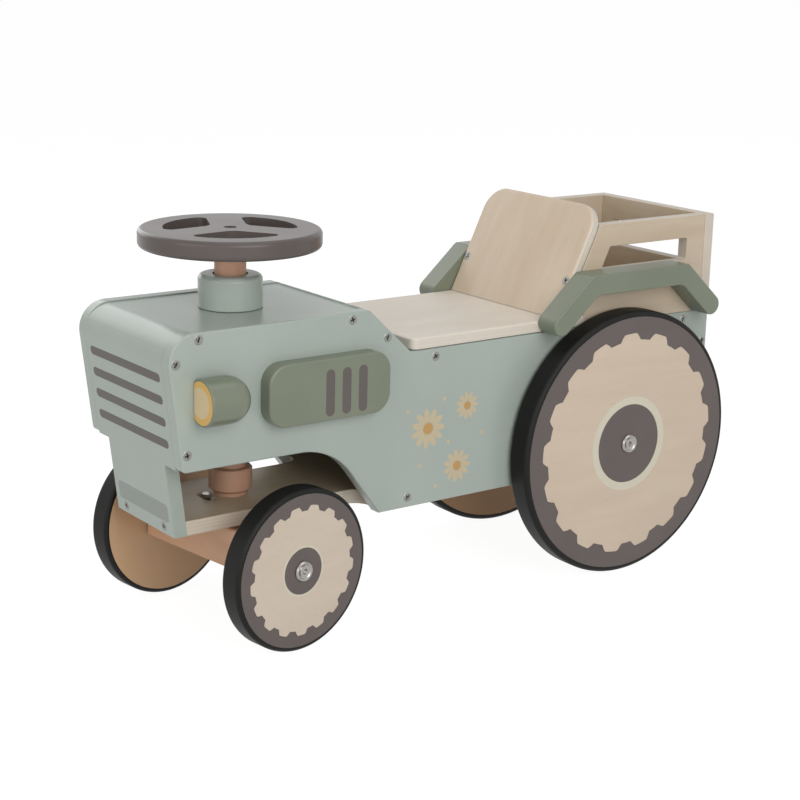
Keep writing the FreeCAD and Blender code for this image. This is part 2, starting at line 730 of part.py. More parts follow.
def hood_collar():
    collar = rod(COLLAR_R, COLLAR_H, Vector(STEER_X, 0, HOOD_Z), Vector(0, 0, 1))
    collar = eased(collar, COLLAR_EASE, flat_at("Z", HOOD_Z + COLLAR_H))
    return collar.cut(rod(COLUMN_R + COLLAR_BORE_GAP, COLLAR_H, Vector(STEER_X, 0, HOOD_Z), Vector(0, 0, 1)))


def axle_beam():
    beam = box(WHEELBASE - BEAM_D / 2, WHEELBASE + BEAM_D / 2, -HALF_W, HALF_W, BEAM_Z, BEAM_TOP_Z)
    beam = eased(beam, BEAM_EASE, lambda edge: edge.BoundBox.YLength > HALF_W)
    beam = beam.cut(rod(FRONT_AXLE_R + RUNNING_FIT, BODY_W, Vector(WHEELBASE, -HALF_W, FRONT_TYRE_R), LEFTWARD))
    socket = rod(COLUMN_R + TYRE_SEAT, COLUMN_SOCKET, Vector(STEER_X, 0, BEAM_TOP_Z - COLUMN_SOCKET), Vector(0, 0, 1))
    stop = Vector(STEER_X + STOP_RADIUS, 0, BEAM_TOP_Z - STOP_DEPTH)
    return beam.cut(socket).cut(rod(STOP_BOLT_R + SCREW_HOLE_GAP, STOP_DEPTH, stop, Vector(0, 0, 1)))


def thrust_washer():
    base = Vector(STEER_X, 0, BEAM_TOP_Z)
    washer = rod(THRUST_R, THRUST_T, base, Vector(0, 0, 1))
    return washer.cut(rod(COLUMN_R + TYRE_SEAT, THRUST_T, base, Vector(0, 0, 1)))


def stop_bolt():
    foot = BEAM_TOP_Z - STOP_DEPTH + BOARD_GAP
    head_z = BASE_TOP_Z + STOP_HEAD_GAP
    centre = Vector(STEER_X + STOP_RADIUS, 0, foot)
    shank = rod(STOP_BOLT_R, head_z - foot, centre, Vector(0, 0, 1))
    head = slab(hexagon(STOP_HEAD_R, centre.x), STOP_HEAD_H)
    head.translate(Vector(0, 0, head_z))
    return shank.fuse(head)


# Every node, first the fixed body and then what steers with the column
left_panel = side_panel()
left_cargo = cargo_side()
left_guard = mudguard()
left_lamp = headlamp()
left_engine = engine_block()
rear_disc = on_axle(
    wheel_disc(REAR_DISC_R, REAR_WHEEL_W, REAR_AXLE_R + RUNNING_FIT), 0, REAR_IN_Y, REAR_TYRE_R
)
rear_tyre = on_axle(wheel_tyre(REAR_DISC_R + TYRE_SEAT, REAR_TYRE_R, REAR_WHEEL_W), 0, REAR_IN_Y, REAR_TYRE_R)
rear_spacer = on_axle(
    spacer(REAR_AXLE_R + RUNNING_FIT, REAR_SPACER_L), 0, HALF_W, REAR_TYRE_R
)
rear_bolt = on_axle(hub_bolt(), 0, REAR_OUT_Y, REAR_TYRE_R)

fixed = {
    "side_panel_left": left_panel,
    "side_panel_right": mirrored(left_panel),
    "hood_front_board": hood_front_board(),
    "hood_top_board": hood_top_board(),
    "dash_board": dash_board(),
    "base_board": base_board(),
    "tail_board": tail_board(),
    "seat_rail": seat_rail(),
    "seat_board": seat_board(),
    "backrest": backrest(),
    "cargo_side_left": left_cargo,
    "cargo_side_right": mirrored(left_cargo),
    "cargo_back": cargo_back(),
    "cargo_floor": cargo_floor(),
    "mudguard_left": left_guard,
    "mudguard_right": mirrored(left_guard),
    "headlamp_left": left_lamp,
    "headlamp_right": mirrored(left_lamp),
    "engine_block_left": left_engine,
    "engine_block_right": mirrored(left_engine),
    "hood_collar": hood_collar(),
    "body_screws": Part.Compound([screw(place, 0) for place in screw_places]),
    "rear_axle": axle_rod(REAR_AXLE_R, REAR_OUT_Y, 0, REAR_TYRE_R),
    "rear_spacers": pair(rear_spacer),
    "rear_hub_bolts": pair(rear_bolt),
    "rear_disc_left": rear_disc,
    "rear_disc_right": mirrored(rear_disc),
    "rear_tyre_left": rear_tyre,
    "rear_tyre_right": mirrored(rear_tyre),
}

front_disc = on_axle(
    wheel_disc(FRONT_DISC_R, FRONT_WHEEL_W, FRONT_AXLE_R + RUNNING_FIT), WHEELBASE, FRONT_IN_Y, FRONT_TYRE_R
)
front_tyre = on_axle(
    wheel_tyre(FRONT_DISC_R + TYRE_SEAT, FRONT_TYRE_R, FRONT_WHEEL_W), WHEELBASE, FRONT_IN_Y, FRONT_TYRE_R
)
front_spacer = on_axle(
    spacer(FRONT_AXLE_R + RUNNING_FIT, FRONT_SPACER_L), WHEELBASE, HALF_W, FRONT_TYRE_R
)
front_bolt = on_axle(hub_bolt(), WHEELBASE, FRONT_OUT_Y, FRONT_TYRE_R)

steered = {
    "steering_wheel": steering_wheel(),
    "steering_wheel_bolt": wheel_bolt(),
    "steering_column": steering_column(),
    "column_ring": column_ring(),
    "thrust_washer": thrust_washer(),
    "axle_beam": axle_beam(),
    "stop_bolt": stop_bolt(),
    "front_axle": axle_rod(FRONT_AXLE_R, FRONT_OUT_Y, WHEELBASE, FRONT_TYRE_R),
    "front_spacers": pair(front_spacer),
    "front_hub_bolts": pair(front_bolt),
    "front_disc_left": front_disc,
    "front_disc_right": mirrored(front_disc),
    "front_tyre_left": front_tyre,
    "front_tyre_right": mirrored(front_tyre),
}
for piece in steered.values():
    piece.rotate(Vector(STEER_X, 0, 0), Vector(0, 0, 1), STEER_AT_REST)

# The finished toy stands with its origin on the floor under its middle
for name, piece in {**fixed, **steered}.items():
    piece.translate(Vector(-MIDDLE_X, 0, 0))
    piece.exportStep(f"parts/{name}.step")
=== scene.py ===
import json
import math
import random

import bmesh
import bpy
from mathutils import Matrix, Vector

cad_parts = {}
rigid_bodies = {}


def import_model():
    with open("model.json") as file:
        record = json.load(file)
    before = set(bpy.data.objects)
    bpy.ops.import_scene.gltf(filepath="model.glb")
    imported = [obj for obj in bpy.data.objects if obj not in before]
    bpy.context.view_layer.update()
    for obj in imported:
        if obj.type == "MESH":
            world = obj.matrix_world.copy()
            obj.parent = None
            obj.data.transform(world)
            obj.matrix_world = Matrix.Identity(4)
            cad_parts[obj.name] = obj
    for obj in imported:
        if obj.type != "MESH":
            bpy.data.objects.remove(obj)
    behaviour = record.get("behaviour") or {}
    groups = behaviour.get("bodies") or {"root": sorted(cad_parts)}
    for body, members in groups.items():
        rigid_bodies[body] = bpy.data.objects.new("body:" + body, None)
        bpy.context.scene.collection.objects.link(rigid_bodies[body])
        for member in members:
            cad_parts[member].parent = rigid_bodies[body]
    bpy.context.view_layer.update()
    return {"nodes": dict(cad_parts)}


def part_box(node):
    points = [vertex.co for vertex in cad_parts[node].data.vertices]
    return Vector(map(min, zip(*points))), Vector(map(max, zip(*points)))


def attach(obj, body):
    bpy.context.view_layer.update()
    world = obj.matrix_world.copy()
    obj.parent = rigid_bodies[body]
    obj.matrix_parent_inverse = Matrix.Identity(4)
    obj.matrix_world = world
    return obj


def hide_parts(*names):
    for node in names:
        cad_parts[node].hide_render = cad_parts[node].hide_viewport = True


for spare in list(bpy.data.objects):
    bpy.data.objects.remove(spare)
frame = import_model()

# Side panels: one birch plywood board on each side, with the hood side, wheel arch and tail in one outline.
# The outer edges are sanded round and the board is sprayed with satin sage paint.
# Screws through the panels hold the cross boards between them.


def chip(red, green, blue):
    """Colour of a paint chip read as 0 to 255, as the linear colour a shader takes."""
    linear = []
    for level in (red, green, blue):
        share = level / 255
        linear.append(share / 12.92 if share <= 0.04045 else ((share + 0.055) / 1.055) ** 2.4)
    return (*linear, 1.0)


def wired(tree, kind, **values):
    """New shader or geometry node with its input sockets set or linked by name."""
    made = tree.nodes.new(kind)
    for name, value in values.items():
        socket = made.inputs[name.replace("_", " ")]
        if isinstance(value, bpy.types.NodeSocket):
            tree.links.new(value, socket)
        else:
            socket.default_value = value
    return made


def reckoned(tree, operation, first, second):
    """Math node on two values or sockets."""
    made = tree.nodes.new("ShaderNodeMath")
    made.operation = operation
    for socket, value in zip(made.inputs, (first, second)):
        if isinstance(value, bpy.types.NodeSocket):
            tree.links.new(value, socket)
        else:
            socket.default_value = value
    return made.outputs[0]


def scaled(tree, vector, amounts):
    """Coordinates stretched by three amounts."""
    made = tree.nodes.new("ShaderNodeVectorMath")
    made.operation = "MULTIPLY"
    tree.links.new(vector, made.inputs[0])
    made.inputs[1].default_value = amounts
    return made.outputs[0]


def ranged(tree, value, low, high, to_low, to_high):
    """Value moved smoothly from one range to another."""
    made = tree.nodes.new("ShaderNodeMapRange")
    made.interpolation_type = "SMOOTHSTEP"
    tree.links.new(value, made.inputs["Value"])
    for name, number in zip(("From Min", "From Max", "To Min", "To Max"), (low, high, to_low, to_high)):
        made.inputs[name].default_value = number
    return made.outputs["Result"]


def mixed(tree, mask, first, second):
    """Two colours mixed by a mask."""
    made = tree.nodes.new("ShaderNodeMix")
    made.data_type = "RGBA"
    tree.links.new(mask, made.inputs["Factor"])
    for socket, value in zip((made.inputs[6], made.inputs[7]), (first, second)):
        if isinstance(value, bpy.types.NodeSocket):
            tree.links.new(value, socket)
        else:
            socket.default_value = value
    return made.outputs[2]


def group_with(name, inputs, outputs):
    """Empty shader node group with named sockets, and its input and output nodes."""
    group = bpy.data.node_groups.new(name, "ShaderNodeTree")
    for socket, kind in inputs:
        group.interface.new_socket(socket, in_out="INPUT", socket_type=kind)
    for socket in outputs:
        group.interface.new_socket(socket, in_out="OUTPUT", socket_type="NodeSocketFloat")
    return group, group.nodes.new("NodeGroupInput"), group.nodes.new("NodeGroupOutput")


# Sprayed paint lies a little uneven and lets the raised veneer lines show faintly through.
CLOUD_SCALE = 16.0
CLOUD_SPAN = (0.3, 0.7)
SATIN = (0.285, 0.325)
VENEER_STRETCH = (14.0, 420.0, 420.0)
VENEER_RISE, VENEER_SHOWS = 0.0004, 0.02
PAINT_SPREAD = 4
sprayed, spray_in, spray_out = group_with(
    "sprayed_paint", [("Vector", "NodeSocketVector")], ["Mottle", "Roughness", "Height"]
)
cloud = wired(sprayed, "ShaderNodeTexNoise", Vector=spray_in.outputs[0], Scale=CLOUD_SCALE, Detail=4.0)
veneer = wired(
    sprayed,
    "ShaderNodeTexNoise",
    Vector=scaled(sprayed, spray_in.outputs[0], VENEER_STRETCH),
    Scale=1.0,
    Detail=4.0,
)
for effect, low, high in (("Mottle", 0.0, 1.0), ("Roughness", *SATIN)):
    sprayed.links.new(ranged(sprayed, cloud.outputs["Fac"], *CLOUD_SPAN, low, high), spray_out.inputs[effect])
sprayed.links.new(veneer.outputs["Fac"], spray_out.inputs["Height"])


def painted(name, rgb, shine=0.5):
    """Satin paint of one colour with its slight mottle."""
    material = bpy.data.materials.new(name)
    material.use_nodes = True
    tree = material.node_tree
    shader = tree.nodes["Principled BSDF"]
    where = tree.nodes.new("ShaderNodeTexCoord")
    coat = tree.nodes.new("ShaderNodeGroup")
    coat.node_tree = sprayed
    tree.links.new(where.outputs["Object"], coat.inputs["Vector"])
    darker = chip(*(level - PAINT_SPREAD / 2 for level in rgb))
    lighter = chip(*(level + PAINT_SPREAD / 2 for level in rgb))
    tree.links.new(mixed(tree, coat.outputs["Mottle"], darker, lighter), shader.inputs["Base Color"])
    tree.links.new(coat.outputs["Roughness"], shader.inputs["Roughness"])
    shader.inputs["Specular IOR Level"].default_value = shine
    rise = wired(
        tree, "ShaderNodeBump", Strength=VENEER_SHOWS, Distance=VENEER_RISE, Height=coat.outputs["Height"]
    )
    tree.links.new(rise.outputs["Normal"], shader.inputs["Normal"])
    material.diffuse_color = chip(*rgb)
    return material


def loops_of(edges):
    """Edges gathered into sets that hang together by their ends."""
    left = set(edges)
    while left:
        ring, front = set(), [left.pop()]
        while front:
            edge = front.pop()
            ring.add(edge)
            for end in edge.verts:
                for other in end.link_edges:
                    if other in left:
                        left.discard(other)
                        front.append(other)
        yield ring


MERGE_REACH = 2e-6
FLAT_WITHIN = math.radians(0.4)
SQUARE_OVER = math.radians(30)
SMOOTH_UNDER = math.radians(40)
SHORTEST_SANDED = 0.15
SANDED_STEPS = 3
FLAT_WEIGHT = 80


def joined(node):
    """Working copy of a CAD piece, with its loose triangles merged and its flat faces made whole."""
    work = bmesh.new()
    work.from_mesh(frame["nodes"][node].data)
    bmesh.ops.remove_doubles(work, verts=work.verts, dist=MERGE_REACH)
    bmesh.ops.dissolve_limit(work, angle_limit=FLAT_WITHIN, verts=work.verts, edges=work.edges)
    return work


def dressed(node, slot, finish, edge=0.0, body="chassis", outward=0, fitted=None, scores=()):
    """Copy of a CAD piece with its edges sanded round, or only those of its outer face where that is named.

    fitted gives the small move of each corner where the real board isn't quite flush with its neighbour,
    and scores are the places along X where the board gets a line of corners for that.
    """
    work = joined(node)
    for x in scores:
        everything = work.verts[:] + work.edges[:] + work.faces[:]
        bmesh.ops.bisect_plane(work, geom=everything, plane_co=(x, 0, 0), plane_no=(1, 0, 0))
    if fitted:
        work.normal_update()
        for corner, move in [(corner, fitted(corner)) for corner in work.verts]:
            corner.co += move
    if edge:
        square = [e for e in work.edges if len(e.link_faces) == 2 and e.calc_face_angle() > SQUARE_OVER]
        crisp = []
        for ring in loops_of(square):
            if sum(e.calc_length() for e in ring) > SHORTEST_SANDED:
                crisp.extend(ring)
        if outward:
            reach = max(corner.co.y * outward for corner in work.verts)
            crisp = [e for e in crisp if all(end.co.y * outward > reach - edge for end in e.verts)]
        bmesh.ops.bevel(
            work,
            geom=crisp,
            offset=edge,
            segments=SANDED_STEPS,
            profile=0.5,
            affect="EDGES",
            clamp_overlap=False,
        )
    mesh = bpy.data.meshes.new(node + "_finished")
    work.to_mesh(mesh)
    work.free()
    mesh.materials.append(finish)
    mesh.shade_smooth()
    mesh.set_sharp_from_angle(angle=SMOOTH_UNDER)
    return placed(node + "_finished", mesh, slot, body, node)


def placed(name, mesh, slot, body, *nodes):
    """Finished piece that rides on its body, with flat faces kept flat beside rounded edges."""
    piece = bpy.data.objects.new(name, mesh)
    bpy.context.scene.collection.objects.link(piece)
    flat = piece.modifiers.new("flat_faces", "WEIGHTED_NORMAL")
    flat.keep_sharp = True
    flat.weight = FLAT_WEIGHT
    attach(piece, body)
    if nodes:
        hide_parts(*nodes)
    return piece


sage = painted("sage_paint", (162, 172, 164), shine=0.4)
PANEL_EDGE = 0.0012
panels = {}
for side, way in (("left", 1), ("right", -1)):
    panels[side] = dressed("side_panel_" + side, "sage_paint", sage, edge=PANEL_EDGE, outward=way)

# Flowers on the side panels: three daisies and a few loose dots, screen printed in straw and ochre ink.
# The ink lies as a thin film on the paint, the same on both sides of the toy.

INK = 0.0001
FULL_TURN = 2 * math.pi


def inked(*loops):
    """Thin raised shape lying in X and Y, inside the first outline and outside any other."""
    work = bmesh.new()
    edges = []
    for loop in loops:
        ends = zip(loop, loop[-1:] + loop[:-1])
        corners = [work.verts.new((*here, 0)) for here, last in ends if math.dist(here, last) > INK / 10]
        edges += [work.edges.new((corners[i - 1], corners[i])) for i in range(len(corners))]
    filled = bmesh.ops.triangle_fill(work, use_beauty=True, edges=edges)["geom"]
    faces = [part for part in filled if isinstance(part, bmesh.types.BMFace)]
    film = bmesh.ops.extrude_face_region(work, geom=faces, use_keep_orig=True)["geom"]
    top = [part for part in film if isinstance(part, bmesh.types.BMVert)]
    bmesh.ops.translate(work, verts=top, vec=(0, 0, INK))
    bmesh.ops.recalc_face_normals(work, faces=work.faces)
    mesh = bpy.data.meshes.new("ink")
    work.to_mesh(mesh)
    work.free()
    return mesh


def oval(half_length, half_width, middle=0.0, steps=40):
    """Outline of an ellipse with its middle on the X axis."""
    turns = [FULL_TURN * i / steps for i in range(steps)]
    return [(middle + half_length * math.cos(t), half_width * math.sin(t)) for t in turns]


def copies_tree():
    """Geometry tree that sets a copy of one shape at each point, turned and sized as the point says."""
    tree = bpy.data.node_groups.new("copies_on_points", "GeometryNodeTree")
    for name, kind in (("Points", "Geometry"), ("Copy", "Object"), ("Finish", "Material")):
        tree.interface.new_socket(name, in_out="INPUT", socket_type="NodeSocket" + kind)
    tree.interface.new_socket("Mesh", in_out="OUTPUT", socket_type="NodeSocketGeometry")
    enter, leave = tree.nodes.new("NodeGroupInput"), tree.nodes.new("NodeGroupOutput")
    shape = wired(tree, "GeometryNodeObjectInfo", Object=enter.outputs["Copy"])
    told = {}
    for name, kind in (("turn", "FLOAT_VECTOR"), ("size", "FLOAT")):
        told[name] = tree.nodes.new("GeometryNodeInputNamedAttribute")
        told[name].data_type = kind
        told[name].inputs["Name"].default_value = name
    stamps = wired(
        tree,
        "GeometryNodeInstanceOnPoints",
        Points=enter.outputs["Points"],
        Instance=shape.outputs["Geometry"],
        Rotation=told["turn"].outputs["Attribute"],
        Scale=told["size"].outputs["Attribute"],
    )
    real = wired(tree, "GeometryNodeRealizeInstances", Geometry=stamps.outputs["Instances"])
    done = wired(
        tree, "GeometryNodeSetMaterial", Geometry=real.outputs["Geometry"], Material=enter.outputs["Finish"]
    )
    tree.links.new(done.outputs["Geometry"], leave.inputs["Mesh"])
    return tree


copies = copies_tree()


def grown(name, seed_mesh, tree, **inputs):
    """Plain mesh that a geometry tree makes from a seed mesh."""
    host = bpy.data.objects.new(name, seed_mesh)
    bpy.context.scene.collection.objects.link(host)
    maker = host.modifiers.new("maker", "NODES")
    maker.node_group = tree
    for item in tree.interface.items_tree:
        if item.name in inputs:
            maker[item.identifier] = inputs[item.name]
    host.update_tag()
    made = bpy.data.meshes.new_from_object(host.evaluated_get(bpy.context.evaluated_depsgraph_get()))
    host.modifiers.remove(maker)
    bpy.data.objects.remove(host)
    return made


def stamped(name, spots, shape, finish):
    """Plain mesh with a copy of a shape at each spot, a spot being a place with its turn and size."""
    points = bpy.data.meshes.new(name)
    points.from_pydata([spot.to_translation() for spot in spots], [], [])
    for told, kind in (("turn", "FLOAT_VECTOR"), ("size", "FLOAT")):
        points.attributes.new(told, kind, "POINT")
    for i, spot in enumerate(spots):
        points.attributes["turn"].data[i].vector = spot.to_euler()
        points.attributes["size"].data[i].value = spot.to_scale().x
    pattern = bpy.data.objects.new(name + "_pattern", shape)
    bpy.context.scene.collection.objects.link(pattern)
    made = grown(name, points, copies, Copy=pattern, Finish=finish)
    bpy.data.objects.remove(pattern)
    return made


FACING = 0.9


def outer_face(piece, way):
    """Point and normal of the widest flat face of a piece on one side."""
    facing = [f for f in piece.data.polygons if f.normal.dot(way) > FACING]
    widest = max(facing, key=lambda f: f.area)
    return widest.center.copy(), widest.normal.copy()


def on_face(point, normal, rise=0.0):
    """Spot on an upright face, moved up it: X goes to the side, Y up the face, Z out of it."""
    side = Vector((0, 0, 1)).cross(normal).normalized()
    up = normal.cross(side)
    turn = Matrix((side, up, normal)).transposed().to_4x4()
    return Matrix.Translation(point + up * rise) @ turn


def plain(name, rgb, roughness, metallic=0.0, shine=0.5):
    """Finish that is the same all over."""
    material = bpy.data.materials.new(name)
    material.use_nodes = True
    shader = material.node_tree.nodes["Principled BSDF"]
    shader.inputs["Base Color"].default_value = chip(*rgb)
    shader.inputs["Roughness"].default_value = roughness
    shader.inputs["Metallic"].default_value = metallic
    shader.inputs["Specular IOR Level"].default_value = shine
    material.diffuse_color = chip(*rgb)
    return material


straw_ink = plain("straw_ink", (190, 176, 146), 0.5)
ochre_ink = plain("ochre_ink", (184, 144, 88), 0.5)
PETALS, PETAL_STEPS = 11, 20
PETAL_L, PETAL_W = 0.0105, 0.0048
EYE_R = 0.0042
DOT_R = 0.0018
PRINT_X, PRINT_Z = 0.020, 0.139
DAISIES = ((-0.019, 0.015, 1.15), (0.021, 0.029, 0.8), (0.012, -0.021, 0.95))
DOTS = ((-0.003, 0.038), (0.002, 0.001), (-0.027, -0.015), (0.037, 0.004), (-0.010, -0.035), (-0.040, 0.032))
petal = inked(oval(PETAL_L / 2, PETAL_W / 2, EYE_R + PETAL_L / 2, PETAL_STEPS))
for side, way in (("left", 1), ("right", -1)):
    outward = Vector((0, way, 0))
    panel_y = outer_face(panels[side], outward)[0].y
    middle = on_face(Vector((PRINT_X, panel_y, PRINT_Z)), outward)
    petals, eyes, dots = [], [], []
    for across, rise, size in DAISIES:
        flower = middle @ Matrix.Translation((across, rise, 0)) @ Matrix.Scale(size, 4)
        eyes.append(flower)
        petals += [flower @ Matrix.Rotation(FULL_TURN * i / PETALS, 4, "Z") for i in range(PETALS)]
    for across, rise in DOTS:
        dots.append(middle @ Matrix.Translation((across, rise, 0)))
    for what, spots, shape, ink in (
        ("petals", petals, petal, straw_ink),
        ("eyes", eyes, inked(oval(EYE_R, EYE_R)), ochre_ink),
        ("dots", dots, inked(oval(DOT_R, DOT_R)), straw_ink),
    ):
        placed(f"{what}_{side}", stamped(f"{what}_{side}", spots, shape, ink), None, "chassis")

# Hood and inner boards: front, top, dash and tail are the same plywood, sprayed sage like the panels.
# They are butted between the panels and screwed from outside.
# The hood top lies a little lower than the panels, so a fine step shows along its edges.

HOOD_SUNK = 0.0010
NOSE_SEAM, END_SLOPE = 0.5, -0.1
INNER_EDGE = 0.0006
LIP_W, LIP_STEP = 0.0012, 0.0001


top_corners = [corner.co for corner in frame["nodes"]["hood_top_board"].data.vertices]
hood_z = max(corner.z for corner in top_corners)
lip_x = min(corner.x for corner in top_corners if corner.z > hood_z - INK) + LIP_W


def below_panels(corner):
    """Move of a corner of the hood top: sunk on the flat, flush at the rear lip and the foot of the nose."""
    if corner.co.x < lip_x + LIP_STEP / 2:
        return Vector()
    skin = [f.normal for f in corner.link_faces if f.normal.z > NOSE_SEAM and f.normal.x > END_SLOPE]
    if not skin:
        return Vector()
    out = sum(skin, Vector()).normalized()
    return -out * HOOD_SUNK * (out.z - NOSE_SEAM) / (1 - NOSE_SEAM)


front = dressed("hood_front_board", "sage_paint", sage)
dressed("hood_top_board", "sage_paint", sage, fitted=below_panels, scores=(lip_x, lip_x + LIP_STEP))
for board in ("dash_board", "tail_board"):
    dressed(board, "sage_paint", sage, edge=INNER_EDGE)

# Grille and strip on the hood front: four taupe bars and one plain darker strip on the apron.
# They are screen printed on the paint, level across the raked board.


def rounded(length, height, radius, steps=8):
    """Outline of a bar with round corners, centred on the origin."""
    points = []
    for corner, (along, up) in enumerate(((1, 1), (-1, 1), (-1, -1), (1, -1))):
        for i in range(steps + 1):
            t = FULL_TURN / 4 * (corner + i / steps)
            x = along * (length / 2 - radius) + radius * math.cos(t)
            points.append((x, up * (height / 2 - radius) + radius * math.sin(t)))
    return points


def at_height(point, normal, z):
    """Spot in the middle of the raked front at a height."""
    return on_face(Vector((point.x - (z - point.z) * normal.z / normal.x, 0, z)), normal)


taupe = painted("taupe_paint", (95, 86, 83), shine=0.35)
# The grille bars use a darker copy of the taupe paint, painted shade against the strong light on the hood
# front.
grille_shaded_taupe = painted("grille_shaded_taupe", (81, 74, 71), shine=0.3)
strip_ink = painted("strip_ink", (131, 139, 132))
BAR_L, BAR_H = 0.110, 0.0070
BAR_TOP, BAR_STEP, BARS = 0.2228, 0.01727, 4
STRIP_L, STRIP_H, STRIP_R, STRIP_Z = 0.078, 0.0147, 0.003, 0.1112
point, normal = outer_face(front, Vector((1, 0, 0)))
bars = [at_height(point, normal, BAR_TOP - i * BAR_STEP) for i in range(BARS)]
bar = inked(rounded(BAR_L, BAR_H, BAR_H / 2))
placed("grille_bars", stamped("grille_bars", bars, bar, grille_shaded_taupe), "taupe_paint", "chassis")
strip = inked(rounded(STRIP_L, STRIP_H, STRIP_R))
strip.transform(at_height(point, normal, STRIP_Z))
strip.materials.append(strip_ink)
placed("front_strip", strip, None, "chassis")

# Base board, seat, backrest and cargo box: birch plywood left its own colour under a clear satin lacquer,
# with painted shade in the darker tone of the base board and cargo floor.
# The veneer runs along each board and the cut edges show the layers.
# Seat and backrest are set on with a narrow slit, and screws hold the box together.

GRAIN_STRETCH, BROAD_STRETCH, PORE_STRETCH = (7.0, 85.0, 85.0), (5.0, 16.0, 16.0), (95.0, 1500.0, 1500.0)
GRAIN_SHARE, FIGURE_SPAN = 0.6, (0.5, 1.1)
FLECK_SPAN, FLECK_DEPTH, FLECK_TINT = (0.62, 0.74), 0.5, 0.12
LAYER, LAYER_SPAN = 0.0028, (0.18, 0.32)
CUT_SPAN = (0.35, 0.75)
LACQUER_SPAN, LACQUER = (0.3, 0.7), (0.42, 0.5)
BEHIND_SPAN, BEHIND_TINT = (-0.3, 0.3), 0.9
GRAIN_SHOWS, GRAIN_RISE = 0.06, 0.0003
CUT_CREAM = (208, 200, 188)
GLUE_LINE = (150, 118, 84)

birch, birch_in, birch_out = group_with(
    "birch_ply",
    [("Vector", "NodeSocketVector"), ("Normal", "NodeSocketVector")],
    ["Figure", "Flecks", "Facing", "Cut", "Layers", "Roughness", "Height"],
)
long_grain = wired(
    birch,
    "ShaderNodeTexNoise",
    Vector=scaled(birch, birch_in.outputs[0], GRAIN_STRETCH),
    Scale=1.0,
    Detail=5.0,
    Distortion=0.6,
)
broad = wired(
    birch,
    "ShaderNodeTexNoise",
    Vector=scaled(birch, birch_in.outputs[0], BROAD_STRETCH),
    Scale=1.0,
    Detail=2.0,
    Distortion=1.2,
)
pores = wired(
    birch,
    "ShaderNodeTexNoise",
    Vector=scaled(birch, birch_in.outputs[0], PORE_STRETCH),
    Scale=1.0,
    Detail=1.0,
)
fine_share = reckoned(birch, "MULTIPLY", long_grain.outputs["Fac"], GRAIN_SHARE)
both = reckoned(birch, "ADD", fine_share, broad.outputs["Fac"])
birch.links.new(ranged(birch, both, *FIGURE_SPAN, 0.0, 1.0), birch_out.inputs["Figure"])
fleck = ranged(birch, pores.outputs["Fac"], *FLECK_SPAN, 0.0, 1.0)
birch.links.new(fleck, birch_out.inputs["Flecks"])
depth = birch.nodes.new("ShaderNodeSeparateXYZ")
birch.links.new(birch_in.outputs[0], depth.inputs[0])
ply_step = reckoned(birch, "PINGPONG", depth.outputs["Z"], LAYER / 2)
stripe = ranged(birch, ply_step, LAYER * LAYER_SPAN[0], LAYER * LAYER_SPAN[1], 0.0, 1.0)
facing = birch.nodes.new("ShaderNodeSeparateXYZ")
birch.links.new(birch_in.outputs[1], facing.inputs[0])
cut_edge = ranged(birch, reckoned(birch, "ABSOLUTE", facing.outputs["Z"], 0.0), *CUT_SPAN, 1.0, 0.0)
birch.links.new(facing.outputs["Z"], birch_out.inputs["Facing"])
birch.links.new(cut_edge, birch_out.inputs["Cut"])
birch.links.new(reckoned(birch, "MULTIPLY", stripe, cut_edge), birch_out.inputs["Layers"])
birch.links.new(ranged(birch, broad.outputs["Fac"], *LACQUER_SPAN, *LACQUER), birch_out.inputs["Roughness"])
birch.links.new(
    reckoned(birch, "SUBTRACT", long_grain.outputs["Fac"], reckoned(birch, "MULTIPLY", fleck, FLECK_DEPTH)),
    birch_out.inputs["Height"],
)

ALONG_TOY = Matrix.Identity(3)
UPRIGHT_ALONG = Matrix(((1, 0, 0), (0, 0, -1), (0, 1, 0)))
UPRIGHT_ACROSS = Matrix(((0, 1, 0), (0, 0, 1), (1, 0, 0)))
FLAT_ACROSS = Matrix(((0, 1, 0), (-1, 0, 0), (0, 0, 1)))


def lacquered_ply(name, pale, deep, turn, edge_tone=GLUE_LINE, layers=0.12, cream=0.8, bare=None, inward=0):
    """Clear-lacquered birch ply; turn brings the grain to X and the thickness to Z.

    layers and cream tint the cut edges, and bare is the tone of a face that looks inward and has no lacquer.
    """
    material = bpy.data.materials.new(name)
    material.use_nodes = True
    tree = material.node_tree
    shader = tree.nodes["Principled BSDF"]
    where = tree.nodes.new("ShaderNodeTexCoord")
    wood = tree.nodes.new("ShaderNodeGroup")
    wood.node_tree = birch
    for source, target in (("Object", "Vector"), ("Normal", "Normal")):
        turned = tree.nodes.new("ShaderNodeMapping")
        turned.vector_type = "VECTOR"
        turned.inputs["Rotation"].default_value = turn.to_euler()
        tree.links.new(where.outputs[source], turned.inputs["Vector"])
        tree.links.new(turned.outputs["Vector"], wood.inputs[target])
    face = mixed(tree, wood.outputs["Figure"], chip(*pale), chip(*deep))
    flecked = reckoned(tree, "MULTIPLY", wood.outputs["Flecks"], FLECK_TINT)
    pored = mixed(tree, flecked, face, chip(*edge_tone))
    if bare:
        behind = reckoned(tree, "MULTIPLY", wood.outputs["Facing"], inward)
        pored = mixed(tree, ranged(tree, behind, *BEHIND_SPAN, 0.0, BEHIND_TINT), pored, chip(*bare))
    creamy = mixed(tree, reckoned(tree, "MULTIPLY", wood.outputs["Cut"], cream), pored, chip(*CUT_CREAM))
    edged = mixed(tree, reckoned(tree, "MULTIPLY", wood.outputs["Layers"], layers), creamy, chip(*edge_tone))
    tree.links.new(edged, shader.inputs["Base Color"])
    tree.links.new(wood.outputs["Roughness"], shader.inputs["Roughness"])
    rise = wired(
        tree, "ShaderNodeBump", Strength=GRAIN_SHOWS, Distance=GRAIN_RISE, Height=wood.outputs["Height"]
    )
    tree.links.new(rise.outputs["Normal"], shader.inputs["Normal"])
    material.diffuse_color = chip(*pale)
    return material


